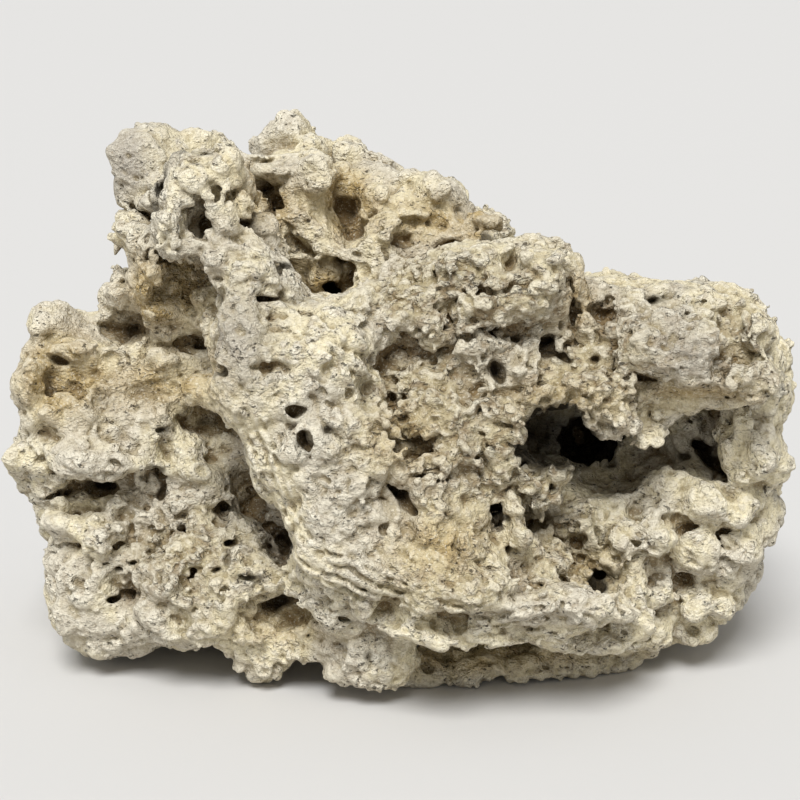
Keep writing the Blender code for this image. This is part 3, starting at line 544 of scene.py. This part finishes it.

# Bores: holes that mussels, worms and sponges made while the reef lived, with smooth walls painted dark
# brown inside as painted shade.
# Each is a rounded pocket carved in from a spot that the photograph shows.
BORES = [
    # pixel across, pixel down, half width, half height, depth, turn of its long axis, how dark its
    # painted shade is inside
    # the tower
    (206, 226, 1.6, 2.0, 3.0, 24, 0.2),
    (157, 180, 1.1, 7.6, 8.0, -4, 0.8),
    (140, 208, 5.0, 1.1, 8.0, -32, 0.9),
    (196, 149, 8.0, 0.9, 8.0, -3, 0.6),
    # the peak, and the hollow in front of it
    (331, 289, 3.2, 3.2, 12.0, 0, 1.0),
    (272, 299, 6.4, 0.9, 4.0, -3, 0.4),
    (281, 267, 2.2, 1.1, 4.0, 20, 0.9),
    (345, 212, 2.0, 2.6, 6.0, 0, 0.5),
    (268, 214, 2.4, 1.6, 4.0, -30, 0.6),
    (352, 229, 1.6, 1.2, 4.0, 0, 0.6),
    # the bulge
    (515, 340, 1.6, 1.0, 4.0, 0, 0.6),
    # the middle
    (497, 370, 1.5, 2.3, 6.0, 20, 1.0),
    (396, 493, 3.0, 2.2, 7.0, -30, 0.8),
    (406, 430, 0.8, 1.6, 3.0, -15, 0.5),
    # the arm
    (552, 346, 2.6, 2.9, 7.0, 24, 0.9),
    (563, 357, 2.4, 1.3, 5.0, -30, 0.7),
    (597, 360, 1.9, 1.4, 5.0, -20, 0.7),
    (628, 399, 1.5, 1.5, 5.0, 0, 0.9),
    (655, 300, 2.2, 1.0, 4.0, 18, 0.9),
    (666, 297, 1.4, 0.6, 3.0, 10, 0.6),
    (687, 313, 1.0, 0.8, 2.5, 0, 0.5),
    (645, 378, 4.8, 0.6, 3.0, -10, 0.9),
    (662, 336, 0.7, 0.5, 2.0, 0, 0.6),
    # the cave under the arm, and the slot to its right
    (556, 436, 9.4, 7.6, 26.0, 0, 3.0),
    (588, 441, 8.4, 6.8, 18.0, 0, 3.0),
    (703, 446, 2.2, 1.4, 8.0, -30, 1.0),
    (720, 468, 3.6, 1.2, 8.0, -44, 0.9),
    (688, 457, 1.6, 0.8, 4.0, 0, 0.8),
    (614, 465, 1.8, 1.2, 4.0, 0, 0.7),
    (692, 422, 1.0, 0.9, 3.0, 0, 0.6),
    # the slope down to the foot on the right
    (495, 510, 2.1, 3.6, 9.0, -8, 1.8),
    (508, 540, 1.0, 4.0, 4.0, 26, 0.7),
    (527, 515, 1.9, 3.8, 9.0, 6, 1.4),
    (552, 492, 1.0, 3.0, 4.0, 4, 0.4),
    (598, 529, 0.9, 2.6, 3.0, 20, 0.5),
    (606, 578, 4.6, 2.0, 9.0, 4, 1.0),
    (598, 588, 2.8, 3.4, 9.0, 0, 1.8),
    # the left block, and the shaded flank of the wall
    (282, 538, 3.4, 4.2, 7.0, 26, 0.5),
    (284, 601, 6.4, 1.5, 8.0, 12, 0.8),
    (114, 600, 2.4, 1.2, 5.0, 14, 0.6),
    (130, 594, 3.0, 1.6, 4.0, 0, 0.4),
    (150, 553, 1.1, 0.8, 2.0, 0, 0.4),
    (132, 563, 1.6, 0.7, 2.5, 14, 0.4),
    (192, 574, 1.2, 1.6, 2.5, 0, 0.45),
    (217, 570, 2.2, 0.8, 2.5, 14, 0.4),
    (226, 561, 0.9, 2.4, 3.0, 0, 0.5),
    (248, 579, 2.4, 0.7, 3.5, -8, 0.7),
    (155, 471, 1.6, 1.0, 3.0, 0, 0.8),
    (162, 494, 1.0, 2.4, 3.0, -16, 0.7),
    (104, 486, 3.4, 1.7, 7.0, 4, 0.9),
    (222, 508, 1.5, 2.4, 5.0, -14, 0.8),
    (228, 543, 1.2, 0.8, 3.0, 0, 0.8),
    (206, 418, 2.2, 2.0, 6.0, 0, 0.7),
    (120, 329, 3.8, 1.2, 5.0, 0, 0.7),
    (200, 345, 3.4, 1.2, 5.0, 0, 0.6),
    (222, 371, 1.8, 1.4, 6.0, -30, 0.8),
    (62, 362, 3.2, 0.9, 3.0, -14, 0.4),
    (98, 396, 1.0, 1.4, 3.0, 0, 0.5),
    (80, 523, 1.6, 0.8, 2.0, 0, 0.3),
    (160, 430, 1.8, 0.8, 3.0, 10, 0.6),
    (198, 530, 1.0, 1.0, 2.0, 0, 0.3),
    (182, 530, 1.0, 1.4, 2.0, 0, 0.35),
    # the wall and its ledge
    (294, 411, 2.1, 1.5, 5.0, 0, 0.4),
    (304, 444, 2.3, 3.4, 6.0, 16, 0.4),
    (326, 430, 0.9, 0.9, 3.0, 0, 1.0),
    (368, 386, 2.6, 2.6, 4.0, -30, 0.3),
    (364, 394, 1.2, 3.0, 3.0, 10, 0.3),
    (408, 505, 3.4, 1.6, 5.0, -44, 0.5),
    (386, 616, 4.6, 4.6, 4.0, 0, 0.15),
    (342, 648, 1.4, 1.0, 4.0, 0, 1.0),
    (368, 658, 0.9, 0.9, 4.0, 0, 0.9),
    (327, 603, 1.3, 1.6, 2.0, 0, 0.3),
    (343, 590, 1.6, 0.7, 2.5, 0, 0.5),
    (343, 620, 2.0, 0.6, 2.5, -20, 0.5),
]
# Painted shade where no light comes: deep in the cave under the arm, in the slot to its right and in an
# upright hole, fading with the distance from each spot.
CAVE_SHADE = [
    # pixel, how wide the painted shade is along x, y and z, and how far in it lies
    ((556, 438), (16, 18, 9), 46.0),
    ((556, 438), (9, 12, 7), 24.0),
    ((708, 452), (4, 8, 4), 8.0),
    ((528, 516), (3, 7, 5), 8.0),
]
BORE_SINK = 0.15   # how far in the middle of a pocket lies, as a share of its depth


def bore(px, py, wide, high, depth, turned, dark):
    """Pocket: (|q| - 1) times its least half size, with q the place over the half sizes.

    A soft noise bends its wall, so that no two holes have the same rim. Its painted shade fades out
    with the distance from the pocket, further for a wide one, and towards the opening.
    """
    size = max(wide, high, depth) + ROOM
    box, across, inward, upward = round_spot(px, py, BORE_SINK * depth, turned, size)
    q = np.sqrt((across / wide) ** 2 + (upward / high) ** 2 + (inward / depth) ** 2)
    pocket = (q - 1.0) * min(wide, high) + rim_bend[box] * min(0.8, 0.3 * min(wide, high))
    rock[box] = np.maximum(rock[box], -pocket)
    fade = 0.9 + 0.5 * max(min(wide, high) - 2.0, 0.0)
    # painted shade on the pocket's walls: darker the deeper in, fading out with the distance from the
    # wall
    inside = dark * np.clip(1.0 - pocket / fade, 0.0, 1.0) * np.clip(0.35 + inward / depth, 0.0, 1.0)
    hole_shade[box] = np.clip(inside, hole_shade[box], 1.0)


rim_bend = soft_noise(2.0, 401)
# painted shade: first the dark deep in the cave, then that of each bore
hole_shade = patches(CAVE_SHADE)
for hole in BORES:
    bore(*hole)
del rim_bend

# The resting face: the rock stands on a patch that was sawn or worn flat.
# It is cut where the height is zero, after a last light blur that takes the steps out of the grid.
LAST_BLUR = 0.26
rock = blurred(rock, LAST_BLUR)
rock = np.maximum(rock, -axes[2][None, None, :])

# The skin: the faces between stone and air. It is too fine a mesh for one piece, so it is made as
# four closed pieces of the same stone, which overlap inside and meet without a step outside.
# Each corner keeps how far it lies in a hollow, small or broad, which patches it lies in, and how much
# painted shade the bores and the cave give it.
OVERLAP = 1.6            # how far a piece goes on past its cut
SINK = 0.25              # how steeply it sinks there, under the skin of its neighbour
BAND = 3.0               # the distances kept either side of the skin, in cells
LEAST_ISLAND = 1500      # corners of the smallest lump that isn't dropped as a stray crumb
SMALL, BROAD = 1.1, 4.5  # widths over which the two kinds of hollow are felt
COARSE = 4               # cells that are taken together for the broad one
PIECES = [
    # name, from and to along x, from and to along y, most faces
    ("left_block", None, -42.0, None, 24.0, 190000),
    ("front_wall", -42.0, 30.0, None, 24.0, 190000),
    ("arm_and_foot", 30.0, None, None, 24.0, 190000),
    ("back", None, None, 24.0, None, 150000),
]


def kept_islands(count, quads):
    """Corners joined by faces share the lowest number found among them; small islands are dropped."""
    number = np.arange(count)
    ends = np.concatenate([quads[:, [0, 1]], quads[:, [1, 2]], quads[:, [2, 3]]])
    while True:
        lowest = np.minimum(number[ends[:, 0]], number[ends[:, 1]])
        before = number.copy()
        np.minimum.at(number, ends[:, 0], lowest)
        np.minimum.at(number, ends[:, 1], lowest)
        number = number[number]
        if (number == before).all():
            return np.bincount(number, minlength=count)[number] > LEAST_ISLAND


def sampled(field, places, cell=CELL):
    """Value of a field between its cells: the mean of the eight cells round a place, by nearness."""
    at = np.clip((places - grid_low) / cell, 0.0, np.array(field.shape) - 1.001)
    first = at.astype(int)
    part = (at - first).astype(np.float32)
    value = np.zeros(len(places), np.float32)
    for step in np.ndindex(2, 2, 2):
        weight = np.prod(np.where(step, part, 1.0 - part), axis=1)
        value += weight * field[tuple((first + step).T)]
    return value


def coarse(field, times):
    """Mean of blocks of cells, times by times by times, for what changes slowly."""
    x, y, z = [count // times for count in field.shape]
    blocks = field[:x * times, :y * times, :z * times].reshape(x, times, y, times, z, times)
    return blocks.mean(axis=(1, 3, 5))


stone = (rock < 0).astype(np.float32)
kept_fields = {
    # name on the mesh, field, and how many cells of the grid its own cells are wide
    "small_hollow": (blurred(stone, SMALL), 1),
    "broad_hollow": (blurred(coarse(stone, COARSE), BROAD, COARSE * CELL), COARSE),
    # painted shade in the bores and the cave
    "hole_shade": (hole_shade, 1),
    "crumbly": (crumbly, 1),
    "worn": (worn, 1),
    "smoothed": (smoothed, 1),
    "ochre": (ochre, 1),
}
del stone


def cut_piece(west, east, south, north):
    """Part of the field inside the limits: the higher of it and of the distance past the overlap.

    Between each limit and the end of the overlap the field rises, so that the skin sinks.
    """
    part = rock.copy()
    for axis, limit, sense in ((0, west, -1), (0, east, 1), (1, south, -1), (1, north, 1)):
        if limit is not None:
            past = (sense * (axes[axis] - limit)).reshape([-1 if k == axis else 1 for k in range(3)])
            part = np.maximum(part + SINK * np.clip(past, 0.0, OVERLAP), past - OVERLAP)
    return part


def skin_piece(name, west, east, south, north, most_faces):
    """Mesh through the places where the field is zero, thinned to the most faces it may have."""
    grid = openvdb.FloatGrid(BAND)
    grid.copyFromArray(np.clip(cut_piece(west, east, south, north) / CELL, -BAND, BAND))
    places, quads = grid.convertToQuads(0.0)
    kept = kept_islands(len(places), quads)
    quads = (np.cumsum(kept) - 1)[quads[kept[quads[:, 0]]]][:, ::-1]
    mesh = bpy.data.meshes.new(name)
    mesh.from_pydata((places[kept] * CELL + grid_low) * MM, [], quads)
    piece = bpy.data.objects.new(name, mesh)
    bpy.context.scene.collection.objects.link(piece)
    thin = piece.modifiers.new("thin", "DECIMATE")
    thin.ratio = min(1.0, most_faces / (2.0 * len(quads)))
    thinned = piece.evaluated_get(bpy.context.evaluated_depsgraph_get())
    mesh = bpy.data.meshes.new_from_object(thinned)
    piece.modifiers.clear()
    piece.data = mesh
    mesh.name = name
    corners = np.empty(len(mesh.vertices) * 3, np.float32)
    mesh.vertices.foreach_get("co", corners)
    corners = corners.reshape(-1, 3) / MM
    for label, (field, times) in kept_fields.items():
        values = sampled(field, corners - (times - 1) / 2 * CELL, times * CELL)
        mesh.attributes.new(label, "FLOAT", "POINT").data.foreach_set("value", values)
    mesh.polygons.foreach_set("use_smooth", np.ones(len(mesh.polygons), bool))
    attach(piece, "root")
    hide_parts("reef_rock")
    return mesh


most = 1.0
skins = [skin_piece(*row[:5], row[5] * most) for row in PIECES]

# Dry reef limestone: coral skeletons turned to chalky stone, broken and weathered, never polished.
# The eye gets a dull, sugary, cream surface, grey where worn and ochre where dust gathers.
# Its hollows are olive and brown, partly from dust and partly as painted shade. Painted shade also
# darkens the faces that look down, the creases, the gaps among crumbs, the pores and the bores,
# and painted highlight whitens its knobs and its high grains.
def colour(code):
    """sRGB hex value turned to linear: ((c + 0.055) / 1.055) ^ 2.4, or c / 12.92 below 0.04045."""
    parts = [int(code[k:k + 2], 16) / 255 for k in (1, 3, 5)]
    return [c / 12.92 if c < 0.04045 else ((c + 0.055) / 1.055) ** 2.4 for c in parts] + [1.0]


limestone = bpy.data.materials.new("dry_limestone")
limestone.use_nodes = True
tree = limestone.node_tree
tree.nodes.clear()


def node(kind, sockets, out=0, **settings):
    """Add a node, give it its settings, set or link its sockets, and return one of its outputs."""
    made = tree.nodes.new("ShaderNode" + kind)
    for name, value in settings.items():
        setattr(made, name, value)
    for name, value in sockets.items():
        if isinstance(value, bpy.types.NodeSocket):
            tree.links.new(value, made.inputs[name])
        else:
            made.inputs[name].default_value = value
    return made.outputs[out]


# Where the stone changes. Each scale is 1000 over the size of a wave in millimetres. Real grains,
# pores and crumbs are finer still, and are drawn as coarse as they need to show.
PER_METRE = 1000.0
WANDER = 0.0014    # how far a noise moves the places of crumbs and folds, in metres
place = node("TexCoord", {}, "Object")
grained = node("Mapping", {"Vector": place, "Rotation": (0, math.radians(28), 0),
                           "Scale": (0.7, 1, 1)})
patch = node("TexNoise", {"Vector": place, "Scale": PER_METRE / 26.316, "Detail": 3.0,
                          "Roughness": 0.6})
mottle = node("TexNoise", {"Vector": place, "Scale": PER_METRE / 5.8824, "Detail": 4.0,
                           "Roughness": 0.65})
sugar = node("TexNoise", {"Vector": place, "Scale": PER_METRE / 0.76923, "Detail": 3.0,
                          "Roughness": 0.7})
pitted = node("TexNoise", {"Vector": grained, "Scale": PER_METRE / 1.1111, "Detail": 2.0})
wander = node("TexNoise", {"Vector": place, "Scale": PER_METRE / 1.6667, "Detail": 3.0}, "Color")
wandered = node("VectorMath", {0: wander, 1: (WANDER, WANDER, WANDER), 2: grained},
                operation="MULTIPLY_ADD")
popcorn = node("TexVoronoi", {"Vector": wandered, "Scale": PER_METRE / 1.7857})
folds = []
for size in (4.3478, 1.9231, 0.86957):
    wave = node("TexNoise", {"Vector": wandered, "Scale": PER_METRE / size, "Detail": 1.0})
    wave = node("Math", {0: wave, 1: 0.5}, operation="SUBTRACT")
    folds.append(node("Math", {0: wave}, operation="ABSOLUTE"))
kept = {name: node("Attribute", {}, "Fac", attribute_name=name) for name in kept_fields}
facing_up = node("SeparateXYZ", {0: node("NewGeometry", {}, "Normal")}, "Z")

STEPS = {
    # name, what it reads, from where to where, and the share at either end, joined by a smooth step
    "creamy": (patch, 0.4, 0.54, 0.0, 1.0),
    "chalky": (mottle, 0.5, 0.64, 0.0, 0.9),
    "dull": (mottle, 0.46, 0.34, 0.0, 0.4),
    # white on the knobs: partly bleached crust, partly painted highlight
    "knobs": (kept["small_hollow"], 0.47, 0.36, 0.0, 0.45),
    "dusty": (mottle, 0.35, 0.6, 0.4, 1.0),
    # olive where the skin is hollow at a small scale and brown where it is hollow at a broad scale:
    # partly dust, partly painted shade
    "dust and shade in small hollows": (kept["small_hollow"], 0.5, 0.68, 0.0, 0.6),
    "dust and shade in broad hollows": (kept["broad_hollow"], 0.52, 0.8, 0.0, 0.85),
    # painted shade: brown on the faces that look down
    "painted underside shade": (facing_up, 0.0, -0.9, 0.0, 0.25),
    "folded": (mottle, 0.44, 0.6, 0.0, 1.0),
    # painted shade: brown along the creases of the bump's folds, which the bump sinks
    "painted shade in wide folds": (folds[0], 0.04, 0.0, 0.0, 0.45),
    "painted shade in narrow folds": (folds[1], 0.04, 0.0, 0.0, 0.3),
    # grain speckle, partly painted shade on the low grains of the bump and painted highlight on its high
    # ones
    "dark grains and shade": (sugar, 0.46, 0.3, 0.0, 0.4),
    "light grains and highlight": (sugar, 0.54, 0.68, 0.0, 0.6),
    "painted shade between crumbs": (popcorn, 0.42, 0.75, 0.0, 1.0),
    "loose": (mottle, 0.4, 0.56, 0.3, 1.3),
    "pores": (pitted, 0.38, 0.32, 0.0, 1.0),
    "porous": (mottle, 0.45, 0.58, 0.1, 1.0),
}
step = {}
for name, (value, low, high, first, last) in STEPS.items():
    step[name] = node("MapRange", {"Value": value, 1: low, 2: high, 3: first, 4: last},
                      interpolation_type="SMOOTHSTEP")

rolled = node("Math", {0: kept["smoothed"], 1: -0.7, 2: 1.0}, operation="MULTIPLY_ADD")
creased = node("Math", {0: step["folded"], 1: rolled}, operation="MULTIPLY")
# painted shade: brown in the gaps among crumbs, which the bump sinks
gaps = node("Math", {0: kept["crumbly"], 1: 0.4, 2: 0.12}, operation="MULTIPLY_ADD")
for share in ("painted shade between crumbs", "loose"):
    gaps = node("Math", {0: gaps, 1: step[share]}, operation="MULTIPLY")
# painted shade: dark brown in the pores, which the bump sinks
pores = node("Math", {0: step["pores"], 1: step["porous"]}, operation="MULTIPLY")

# Besides the stone's own tones, olive and brown below serve as painted shade, dark only as painted
# shade, and white partly as painted highlight.
grey = colour("#DDD5C2")
cream = colour("#F3E8C6")
white = colour("#FAF3DF")
lilac = colour("#AFA89C")
tan = colour("#C3AB78")
brown = colour("#836B45")
olive = colour("#9C8D69")
dark = colour("#2C2414")
COATS = [
    # how strongly it shows, as a share and what the share is multiplied by, and its colour
    # olive over the crumbly patches: partly their own tint, partly painted shade
    (step["chalky"], 1.0, white), (step["dull"], 1.0, olive), (kept["crumbly"], 0.5, olive),
    (step["knobs"], 1.0, white), (kept["worn"], 0.85, lilac), (kept["ochre"], step["dusty"], tan),
    (step["dust and shade in small hollows"], 1.0, olive), (step["dust and shade in broad hollows"], 1.0, brown),
    (step["painted underside shade"], 1.0, brown), (step["painted shade in wide folds"], creased, brown),
    (step["painted shade in narrow folds"], creased, brown), (step["dark grains and shade"], 1.0, brown),
    (step["light grains and highlight"], 1.0, white), (gaps, 1.0, brown), (pores, 0.75, dark),
    (kept["hole_shade"], 0.95, dark),
]
tone = node("Mix", {0: step["creamy"], 6: grey, 7: cream}, 2, data_type="RGBA")
for share, part, coat in COATS:
    if part != 1.0:
        share = node("Math", {0: share, 1: part}, operation="MULTIPLY")
    tone = node("Mix", {0: share, 6: tone, 7: coat}, 2, data_type="RGBA")

# The finest relief: folds, higher where the stone is creased, then grain, gaps and pores.
BUMP_HEIGHT = 0.0024
relief = node("Math", {0: folds[1], 1: 0.7, 2: folds[0]}, operation="MULTIPLY_ADD")
relief = node("Math", {0: folds[2], 1: 0.4, 2: relief}, operation="MULTIPLY_ADD")
relief = node("Math", {0: relief, 1: node("Math", {0: creased, 1: 0.8}, operation="ADD")},
              operation="MULTIPLY")
for value, part in ((sugar, 0.35), (gaps, -0.4), (pores, -0.3)):
    relief = node("Math", {0: value, 1: part, 2: relief}, operation="MULTIPLY_ADD")
bump = node("Bump", {"Strength": 1.0, "Distance": BUMP_HEIGHT, "Height": relief})
surface = node("BsdfPrincipled", {"Base Color": tone, "Roughness": 0.93, "IOR": 1.5,
                                  "Specular IOR Level": 0.25, "Normal": bump})
tree.links.new(surface, tree.nodes.new("ShaderNodeOutputMaterial").inputs["Surface"])
for skin in skins:
    skin.materials.append(limestone)

# The studio: a plain pale paper floor that runs out of the view on every side, and soft light
# from a wide lamp in front and above, and from all round.
FLOOR_HALF = 30.0
LAMP_PLACE = Vector((-0.14, -0.88, 1.2))
LAMP_WIDTH = math.radians(26.0)
LAMP_ENERGY = 3.25
ROUND_LIGHT = 0.42
floor_mesh = bpy.data.meshes.new("floor")
floor_mesh.from_pydata([(-FLOOR_HALF, -FLOOR_HALF, 0), (FLOOR_HALF, -FLOOR_HALF, 0),
                        (FLOOR_HALF, FLOOR_HALF, 0), (-FLOOR_HALF, FLOOR_HALF, 0)], [], [(0, 1, 2, 3)])
floor = bpy.data.objects.new("floor", floor_mesh)
bpy.context.scene.collection.objects.link(floor)
paper = bpy.data.materials.new("white_paper")
paper.use_nodes = True
paper.node_tree.nodes["Principled BSDF"].inputs["Base Color"].default_value = colour("#D2D1CF")
paper.node_tree.nodes["Principled BSDF"].inputs["Roughness"].default_value = 0.9
floor_mesh.materials.append(paper)

sun = bpy.data.lights.new("key", "SUN")
sun.angle = LAMP_WIDTH
sun.energy = LAMP_ENERGY
key = bpy.data.objects.new("key", sun)
key.rotation_euler = (-LAMP_PLACE).to_track_quat("-Z", "Y").to_euler()
bpy.context.scene.collection.objects.link(key)
world = bpy.data.worlds.new("studio")
world.use_nodes = True
world.node_tree.nodes["Background"].inputs["Color"].default_value = (1.0, 1.0, 1.0, 1.0)
world.node_tree.nodes["Background"].inputs["Strength"].default_value = ROUND_LIGHT
bpy.context.scene.world = world
bpy.context.scene.view_settings.view_transform = "Standard"
